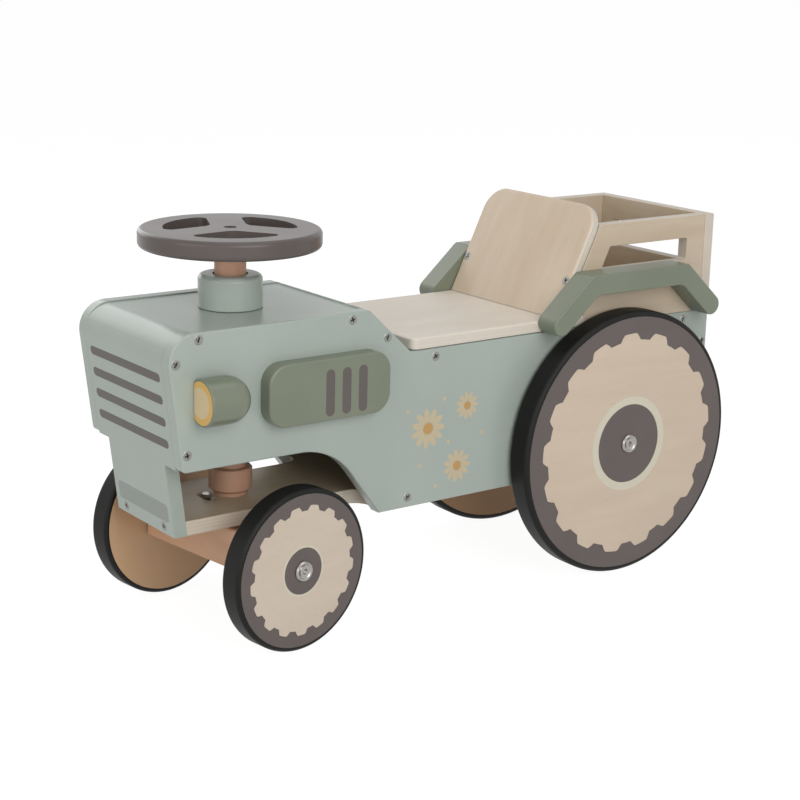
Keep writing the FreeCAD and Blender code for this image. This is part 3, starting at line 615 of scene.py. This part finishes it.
BACK_LEAN = math.radians(25.5)
back_frame = Matrix(
    (
        (-math.sin(BACK_LEAN), 0, math.cos(BACK_LEAN)),
        (0, 1, 0),
        (math.cos(BACK_LEAN), 0, math.sin(BACK_LEAN)),
    )
)
back_frame.row[1] = back_frame.row[2].cross(back_frame.row[0])
# The base board and cargo floor tone is darkened as painted shade, standing in for the shade under the hood.
shaded_base_ply = lacquered_ply("shaded_base_ply", (180, 164, 140), (168, 148, 121), ALONG_TOY)
seat_ply = lacquered_ply("seat_ply", (226, 217, 205), (221, 211, 197), ALONG_TOY, layers=0.05)
back_ply = lacquered_ply("backrest_ply", (214, 197, 175), (205, 185, 160), back_frame, cream=1.0)
cargo_side_ply = lacquered_ply("cargo_side_ply", (200, 185, 164), (189, 171, 147), UPRIGHT_ALONG)
cargo_back_ply = lacquered_ply("cargo_back_ply", (206, 191, 168), (194, 175, 148), UPRIGHT_ACROSS)
CARGO_EDGE = 0.0008
SEAT_SLIT = 0.0008
BACK_SLIT = SEAT_SLIT + 0.0005
dressed("base_board", "natural_ply", shaded_base_ply, edge=INNER_EDGE)
dressed("seat_rail", "sage_paint", sage)
dressed("seat_board", "natural_ply", seat_ply, fitted=lambda corner: Vector((0, 0, SEAT_SLIT)))


def at_foot(node, move):
    """Fit of a piece that stands on another: the move of its lowest corners."""
    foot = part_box(node)[0].z
    return lambda corner: move if corner.co.z < foot + SEAT_SLIT else Vector()


dressed("backrest", "natural_ply", back_ply, fitted=at_foot("backrest", back_frame.row[0] * BACK_SLIT))
dressed("cargo_floor", "natural_ply", shaded_base_ply)
for side in ("left", "right"):
    dressed("cargo_side_" + side, "natural_ply", cargo_side_ply, edge=CARGO_EDGE)
dressed("cargo_back", "natural_ply", cargo_back_ply, edge=CARGO_EDGE)

# Mudguards, headlamps and engine blocks: solid wood shapes sprayed olive.
# The mudguards are sawn, the lamps turned and the blocks routed round, and screws from inside hold them.

LAMP_EDGE = 0.0012
olive = painted("olive_paint", (116, 123, 105))
lamps, engines = {}, {}
for side in ("left", "right"):
    dressed("mudguard_" + side, "olive_paint", olive)
    lamps[side] = dressed("headlamp_" + side, "olive_paint", olive, edge=LAMP_EDGE)
    engines[side] = dressed("engine_block_" + side, "olive_paint", olive)

# Prints on the engine blocks and lamps: three upright taupe slots on each block.
# Each lamp front has a straw lens with an amber rim, cut off straight beside the panel.

SLOT_H, SLOT_W, SLOTS, SLOT_STEP = 0.037, 0.008, 3, 0.0152
SLOT_AHEAD, SLOT_RISE = -0.0140, -0.0023
LENS_R, LENS_FLAT = 0.0164, 0.0100
CORE_L, CORE_H, CORE_IN = 0.0130, 0.0118, 0.0012
amber_ink = plain("amber_ink", (214, 172, 94), 0.4)
lens_ink = plain("lens_ink", (210, 189, 149), 0.4)
slot_bar = inked(rounded(SLOT_W, SLOT_H, SLOT_W / 2))


def cut_oval(half_length, half_width, middle, flat, steps=40):
    """Outline of an ellipse with its middle on the X axis, cut off straight at a distance on the -X side."""
    end = math.acos((-flat - middle) / half_length)
    turns = [end * (2 * i / steps - 1) for i in range(steps + 1)]
    return [(middle + half_length * math.cos(t), half_width * math.sin(t)) for t in turns]


for side, way in (("left", 1), ("right", -1)):
    outward = Vector((0, way, 0))
    middle = outer_face(engines[side], outward)[0]
    slots = []
    for i in range(SLOTS):
        ahead = Vector((SLOT_AHEAD - (i - 1) * SLOT_STEP, 0, 0))
        slots.append(on_face(middle + ahead, outward, rise=SLOT_RISE))
    name = f"engine_slots_{side}"
    placed(name, stamped(name, slots, slot_bar, taupe), "taupe_paint", "chassis")
    low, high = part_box("headlamp_" + side)
    lamp_r = (high.z - low.z) / 2
    axis_y = high.y - lamp_r if way > 0 else low.y + lamp_r
    lens = on_face(Vector((high.x, axis_y, low.z + lamp_r)), Vector((1, 0, 0)))
    if way < 0:
        lens = lens @ Matrix.Rotation(math.pi, 4, "Z")
    rim = inked(cut_oval(LENS_R, LENS_R, 0.0, LENS_FLAT))
    rim.transform(lens)
    rim.materials.append(amber_ink)
    placed(f"lamp_rim_{side}", rim, None, "chassis")
    core = inked(cut_oval(CORE_L, CORE_H, -CORE_IN, LENS_FLAT - INK))
    core.transform(lens @ Matrix.Translation((0, 0, INK)))
    core.materials.append(lens_ink)
    placed(f"lamp_core_{side}", core, None, "chassis")

# Steering: a taupe plywood wheel bolted to a beech dowel, and a beech beam below that carries the front axle.
# A turned sage collar guides the dowel on the hood, and a ring and a washer keep it at its height.
# Bolts and axles are zinc plated, washers and spacers nylon.

COLLAR_EDGE, COLLAR_SUNK = 0.0007, 0.0006
to_hood = at_foot("hood_collar", Vector((0, 0, -COLLAR_SUNK)))
dressed("hood_collar", "sage_paint", sage, edge=COLLAR_EDGE, fitted=to_hood)
# The steering wheel uses a darker copy of the taupe paint, painted shade against the light falling on its
# top.
shaded_rim_taupe = painted("steering_shaded_taupe", (89, 81, 78), shine=0.3)
dressed("steering_wheel", "taupe_paint", shaded_rim_taupe, body="steering")


def lacquered_beech(name, pale, deep, turn):
    """Clear-lacquered beech, redder than the birch, with short dark flecks along the grain."""
    return lacquered_ply(name, pale, deep, turn, edge_tone=BEECH_FLECK, layers=0.0, cream=0.0)


BEECH_FLECK = (122, 82, 58)
UPRIGHT_GRAIN = Matrix(((0, 0, 1), (1, 0, 0), (0, 1, 0)))
dowel_beech = lacquered_beech("dowel_beech", (206, 164, 138), (190, 146, 120), UPRIGHT_GRAIN)
beam_beech = lacquered_beech("beam_beech", (212, 170, 138), (196, 152, 120), FLAT_ACROSS)
for turning in ("steering_column", "column_ring"):
    dressed(turning, "beech", dowel_beech, body="steering")
dressed("axle_beam", "beech", beam_beech, body="steering")

zinc = plain("zinc_plate", (164, 160, 157), 0.25, metallic=1.0)
nylon = plain("nylon", (222, 220, 212), 0.5)
for bolt in ("steering_wheel_bolt", "stop_bolt", "front_axle", "front_hub_bolts"):
    dressed(bolt, "steel", zinc, body="steering")
for bolt in ("rear_axle", "rear_hub_bolts"):
    dressed(bolt, "steel", zinc)
for washer in ("thrust_washer", "front_spacers"):
    dressed(washer, "nylon", nylon, body="steering")
dressed("rear_spacers", "nylon", nylon)

# Wheels: birch plywood discs, clear lacquered outside and left bare inside; the rear discs' bare inner faces
# are darker as painted shade from under the body.
# A black rubber band is stretched round each for a tyre, and a bolt in the hub holds the wheel on its axle.

rubber = plain("tyre_rubber", (22, 22, 21), 0.5, shine=0.18)
REST_STEER = math.radians(7.7)
front_turn = UPRIGHT_ALONG @ Matrix.Rotation(-REST_STEER, 3, "Z")
DISC_TONES = {
    "rear": ((205, 188, 168), (199, 181, 160), UPRIGHT_ALONG),
    "front": ((206, 192, 175), (200, 185, 167), front_turn),
}
# The rear bare tone is darker than the front as painted shade: those inner faces sit in the shade under the
# body.
BARE_AND_SHADE_TONES = {"rear": (182, 140, 98), "front": (204, 167, 127)}
for end in ("rear", "front"):
    for side, inward in (("left", -1), ("right", 1)):
        wheel = f"{end}_wheel_{side}"
        disc_ply = lacquered_ply(wheel + "_ply", *DISC_TONES[end], bare=BARE_AND_SHADE_TONES[end], inward=inward)
        dressed(f"{end}_disc_{side}", "natural_ply", disc_ply, body=wheel)
        dressed(f"{end}_tyre_{side}", "tyre", rubber, body=wheel)

# Prints on the wheels: a taupe band with round teeth inside the tyre, and a taupe hub with a cream ring.
# They are printed on the outer face of each disc and turn with it.


def toothed_tree():
    """Geometry tree of a flat band with a round outer edge and rounded teeth cut into its inner edge."""
    tree = bpy.data.node_groups.new("toothed_band", "GeometryNodeTree")
    for name, kind in (
        ("Outer", "Float"),
        ("Tip", "Float"),
        ("Root", "Float"),
        ("Teeth", "Int"),
        ("Turn", "Float"),
        ("Rise", "Float"),
        ("Finish", "Material"),
    ):
        tree.interface.new_socket(name, in_out="INPUT", socket_type="NodeSocket" + kind)
    tree.interface.new_socket("Mesh", in_out="OUTPUT", socket_type="NodeSocketGeometry")
    enter, leave = tree.nodes.new("NodeGroupInput"), tree.nodes.new("NodeGroupOutput")
    steps = reckoned(tree, "MULTIPLY", enter.outputs["Teeth"], STEPS_PER_TOOTH)
    outside = wired(tree, "GeometryNodeCurvePrimitiveCircle", Resolution=steps, Radius=enter.outputs["Outer"])
    inside = wired(tree, "GeometryNodeCurvePrimitiveCircle", Resolution=steps, Radius=1.0)
    place = tree.nodes.new("GeometryNodeInputPosition").outputs[0]
    parts = wired(tree, "ShaderNodeSeparateXYZ", Vector=place)
    angle = reckoned(tree, "ARCTAN2", parts.outputs["Y"], parts.outputs["X"])
    teeth_round = reckoned(tree, "DIVIDE", enter.outputs["Teeth"], FULL_TURN)
    tooth = reckoned(tree, "MULTIPLY", reckoned(tree, "SUBTRACT", angle, enter.outputs["Turn"]), teeth_round)
    off_tip = reckoned(tree, "PINGPONG", tooth, 0.5)
    flank = tree.nodes.new("ShaderNodeMapRange")
    tree.links.new(off_tip, flank.inputs["Value"])
    flank.inputs["From Min"].default_value, flank.inputs["From Max"].default_value = TIP_END, ROOT_START
    depth = reckoned(tree, "POWER", flank.outputs["Result"], FLANK_CURVE)
    tallest = reckoned(tree, "SUBTRACT", enter.outputs["Tip"], enter.outputs["Root"])
    cut = reckoned(tree, "MULTIPLY", depth, tallest)
    radius = reckoned(tree, "SUBTRACT", enter.outputs["Tip"], cut)
    reach = tree.nodes.new("ShaderNodeVectorMath")
    reach.operation = "SCALE"
    tree.links.new(place, reach.inputs[0])
    tree.links.new(radius, reach.inputs["Scale"])
    edge = wired(tree, "GeometryNodeSetPosition", Geometry=inside.outputs["Curve"], Position=reach.outputs[0])
    both_edges = tree.nodes.new("GeometryNodeJoinGeometry")
    for curve in (outside.outputs["Curve"], edge.outputs["Geometry"]):
        tree.links.new(curve, both_edges.inputs[0])
    sheet = wired(tree, "GeometryNodeFillCurve", Curve=both_edges.outputs[0])
    lift = wired(tree, "ShaderNodeCombineXYZ", Z=enter.outputs["Rise"])
    film = wired(
        tree,
        "GeometryNodeExtrudeMesh",
        Mesh=sheet.outputs["Mesh"],
        Offset=lift.outputs[0],
        Offset_Scale=1.0,
        Individual=False,
    )
    underside = wired(tree, "GeometryNodeFlipFaces", Mesh=sheet.outputs["Mesh"])
    closed = tree.nodes.new("GeometryNodeJoinGeometry")
    for mesh in (film.outputs["Mesh"], underside.outputs["Mesh"]):
        tree.links.new(mesh, closed.inputs[0])
    whole = wired(tree, "GeometryNodeMergeByDistance", Geometry=closed.outputs[0], Distance=INK / 10)
    real = wired(tree, "GeometryNodeRealizeInstances", Geometry=whole.outputs["Geometry"])
    done = wired(
        tree, "GeometryNodeSetMaterial", Geometry=real.outputs["Geometry"], Material=enter.outputs["Finish"]
    )
    tree.links.new(done.outputs["Geometry"], leave.inputs["Mesh"])
    return tree


def turned_outward(mesh, spot):
    """Film moved to its spot, with its faces outward."""
    mesh.transform(spot)
    work = bmesh.new()
    work.from_mesh(mesh)
    bmesh.ops.recalc_face_normals(work, faces=work.faces)
    work.to_mesh(mesh)
    work.free()
    return mesh


STEPS_PER_TOOTH, HUB_STEPS = 48, 64
TIP_END, ROOT_START, FLANK_CURVE = 0.185, 0.338, 1.3
TEETH = 17
BOLT_ROOM_R = 0.00825
BANDS = {"rear": (0.098, 0.092, 2.8), "front": (0.0525, 0.0485, 17.25)}
HUBS = {"rear": (0.035, 0.042), "front": (0.0188, 0.0205)}
cream_ink = plain("cream_ink", (206, 199, 180), 0.45)
toothed = toothed_tree()
for end in ("rear", "front"):
    centres = {}
    for side in ("left", "right"):
        low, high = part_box(f"{end}_disc_{side}")
        centres[side] = (low + high) / 2
    disc_r = (high.z - low.z) / 2
    axle = (centres["left"] - centres["right"]).normalized()
    tip, root, lead = BANDS[end]
    hub_r, ring_r = HUBS[end]
    for side, way in (("left", 1), ("right", -1)):
        outward = axle * way
        corners = frame["nodes"][f"{end}_disc_{side}"].data.vertices
        half_width = max((corner.co - centres[side]).dot(outward) for corner in corners)
        spot = on_face(centres[side] + outward * half_width, outward)
        wheel = f"{end}_wheel_{side}"
        band = grown(
            wheel + "_band",
            bpy.data.meshes.new(wheel + "_seed"),
            toothed,
            Outer=disc_r,
            Tip=tip,
            Root=root,
            Teeth=TEETH,
            Turn=math.pi - math.radians(lead),
            Rise=INK,
            Finish=taupe,
        )
        placed(wheel + "_band", turned_outward(band, spot), "taupe_paint", wheel)
        hub = inked(oval(hub_r, hub_r, steps=HUB_STEPS), oval(BOLT_ROOM_R, BOLT_ROOM_R))
        hub.materials.append(taupe)
        placed(wheel + "_hub", turned_outward(hub, spot), "taupe_paint", wheel)
        ring = inked(oval(ring_r, ring_r, steps=HUB_STEPS), oval(hub_r, hub_r, steps=HUB_STEPS))
        ring.materials.append(cream_ink)
        placed(wheel + "_ring", turned_outward(ring, spot), None, wheel)

# Screws: countersunk steel wood screws with a cross recess, zinc plated.
# They are driven through the panels and boards by hand, so each cross stands at its own angle.

SINK_R, HEAD_R, HEAD_H, SHANK_R, SCREW_L = 0.0034, 0.0038, 0.0024, 0.0018, 0.026
HEAD_EASE, HEAD_PROUD = 0.0004, 0.00025
CROSS_REACH, CROSS_HALF, CROSS_DEPTH, CROSS_TAPER = 0.0023, 0.00065, 0.0020, 0.4
ROUND_STEPS = 24


def countersunk_screw():
    """Screw along Z with the flat of its head at the origin, facing up."""
    work = bmesh.new()

    def ring(points, z):
        return [work.verts.new((x, y, z)) for x, y in points]

    def wall(upper, lower):
        for i in range(len(upper)):
            work.faces.new((upper[i - 1], upper[i], lower[i], lower[i - 1]))

    cross = [(CROSS_REACH, -CROSS_HALF), (CROSS_REACH, CROSS_HALF), (CROSS_HALF, CROSS_HALF)]
    for _ in range(3):
        cross += [(-y, x) for x, y in cross[-3:]]
    brim = HEAD_R - HEAD_EASE
    rim = ring(oval(brim, brim, steps=ROUND_STEPS), HEAD_PROUD)
    mouth = ring(cross, HEAD_PROUD)
    border = []
    for loop in (rim, mouth):
        border += [work.edges.new((loop[i - 1], loop[i])) for i in range(len(loop))]
    bmesh.ops.triangle_fill(work, use_beauty=True, edges=border)
    floor_of_cross = ring([(x * CROSS_TAPER, y * CROSS_TAPER) for x, y in cross], HEAD_PROUD - CROSS_DEPTH)
    wall(floor_of_cross, mouth)
    work.faces.new(floor_of_cross)
    rings = [rim]
    for radius, z in ((HEAD_R, 0), (SINK_R, 0), (SHANK_R, -HEAD_H), (SHANK_R, -SCREW_L)):
        rings.append(ring(oval(radius, radius, steps=ROUND_STEPS), z))
        wall(*rings[-2:])
    work.faces.new(rings[-1])
    bmesh.ops.recalc_face_normals(work, faces=work.faces)
    mesh = bpy.data.meshes.new("countersunk_screw")
    work.to_mesh(mesh)
    work.free()
    return mesh


HEAD_SHARE = 0.9
SCREW_SEED = 11
merged = joined("body_screws")
last_turn = random.Random(SCREW_SEED)
screw_spots = []
for face in merged.faces:
    if face.calc_area() > HEAD_SHARE * math.pi * SINK_R**2:
        turn = face.normal.to_track_quat("Z", "Y").to_matrix().to_4x4()
        spin = Matrix.Rotation(last_turn.uniform(0, FULL_TURN), 4, "Z")
        screw_spots.append(Matrix.Translation(face.calc_center_median()) @ turn @ spin)
merged.free()
screw_steel = plain("screw_steel", (142, 142, 138), 0.42, metallic=1.0)
screws = stamped("body_screws_finished", screw_spots, countersunk_screw(), screw_steel)
placed("body_screws_finished", screws, "steel", "chassis", "body_screws")

# Studio: a plain white floor under a white surround.
# Large soft lamps stand on both sides, in front and overhead, with a small low one before the wheels.

REACH = 12.0
FLOOR_BOUNCE, FLOOR_SHADE, FLOOR_GLOW = 0.8, 0.14, 0.95
SURROUND = 0.27
TOY_MIDDLE = Vector((0, 0, 0.15))


def seen_white(tree):
    """One where the eye, a gloss or a clear piece looks at the studio, and nought where it only lights."""
    path = tree.nodes.new("ShaderNodeLightPath")
    seen = reckoned(tree, "MAXIMUM", path.outputs["Is Camera Ray"], path.outputs["Is Glossy Ray"])
    return reckoned(tree, "MAXIMUM", seen, path.outputs["Is Transmission Ray"])


floor_mesh = bpy.data.meshes.new("floor")
floor_mesh.from_pydata(
    [(-REACH, -REACH, 0), (REACH, -REACH, 0), (REACH, REACH, 0), (-REACH, REACH, 0)], [], [(0, 1, 2, 3)]
)
floor = bpy.data.objects.new("floor", floor_mesh)
bpy.context.scene.collection.objects.link(floor)
white = bpy.data.materials.new("studio_floor")
white.use_nodes = True
tree = white.node_tree
tree.nodes.remove(tree.nodes["Principled BSDF"])
bounce = wired(tree, "ShaderNodeBsdfDiffuse", Color=(FLOOR_BOUNCE, FLOOR_BOUNCE, FLOOR_BOUNCE, 1.0))
shade = wired(tree, "ShaderNodeBsdfDiffuse", Color=(FLOOR_SHADE, FLOOR_SHADE, FLOOR_SHADE, 1.0))
glow = wired(tree, "ShaderNodeEmission", Color=(1, 1, 1, 1), Strength=FLOOR_GLOW)
both_lit = tree.nodes.new("ShaderNodeAddShader")
tree.links.new(shade.outputs[0], both_lit.inputs[0])
tree.links.new(glow.outputs[0], both_lit.inputs[1])
choice = tree.nodes.new("ShaderNodeMixShader")
tree.links.new(seen_white(tree), choice.inputs[0])
tree.links.new(bounce.outputs[0], choice.inputs[1])
tree.links.new(both_lit.outputs[0], choice.inputs[2])
tree.links.new(choice.outputs[0], tree.nodes["Material Output"].inputs["Surface"])
floor_mesh.materials.append(white)

world = bpy.data.worlds.new("studio")
bpy.context.scene.world = world
world.use_nodes = True
tree = world.node_tree
strength = reckoned(tree, "ADD", reckoned(tree, "MULTIPLY", seen_white(tree), 1 - SURROUND), SURROUND)
tree.links.new(strength, tree.nodes["Background"].inputs["Strength"])
tree.nodes["Background"].inputs["Color"].default_value = (1, 1, 1, 1)


def softbox(name, where, size, power):
    """Square lamp that faces the middle of the toy."""
    lamp = bpy.data.lights.new(name, "AREA")
    lamp.size = size
    lamp.energy = power
    holder = bpy.data.objects.new(name, lamp)
    holder.location = where
    holder.rotation_euler = (TOY_MIDDLE - Vector(where)).to_track_quat("-Z", "Y").to_euler()
    bpy.context.scene.collection.objects.link(holder)


softbox("key", (0.4, 2.2, 1.1), 1.6, 30.5)
softbox("front", (2.2, 0.3, 0.9), 1.4, 11.0)
softbox("fill", (0.2, -2.2, 1.1), 1.6, 15.0)
softbox("top", (-0.2, 0.2, 2.4), 1.8, 9.5)
softbox("low", (1.3, 1.1, 0.40), 0.6, 1.2)

# Camera: a long lens at the height of a standing child, ahead of the toy and to its left.
# Its place and turn were worked out from the wheels, the board edges and the frame.

LENS_PIXELS = 1795.42
FRAME_PIXELS = 800
SENSOR = 36.0
TURN = 2.5006446
LIFT = 0.2583769
ROLL = 0.0244301
EYE_AT = (0.894667, 1.180051, 0.547387)
back = Vector((math.sin(TURN) * math.cos(LIFT), -math.cos(TURN) * math.cos(LIFT), math.sin(LIFT)))
right = Vector((math.cos(TURN), math.sin(TURN), 0))
up = back.cross(right)
across = right * math.cos(ROLL) + up * math.sin(ROLL)
upward = up * math.cos(ROLL) - right * math.sin(ROLL)
eye = bpy.data.cameras.new("eye")
eye.sensor_width = SENSOR
eye.lens = LENS_PIXELS / FRAME_PIXELS * SENSOR
stand = bpy.data.objects.new("eye", eye)
stand.matrix_world = Matrix(
    (
        (across.x, upward.x, back.x, EYE_AT[0]),
        (across.y, upward.y, back.y, EYE_AT[1]),
        (across.z, upward.z, back.z, EYE_AT[2]),
        (0, 0, 0, 1),
    )
)
bpy.context.scene.collection.objects.link(stand)
bpy.context.scene.camera = stand
bpy.context.scene.view_settings.view_transform = "Standard"
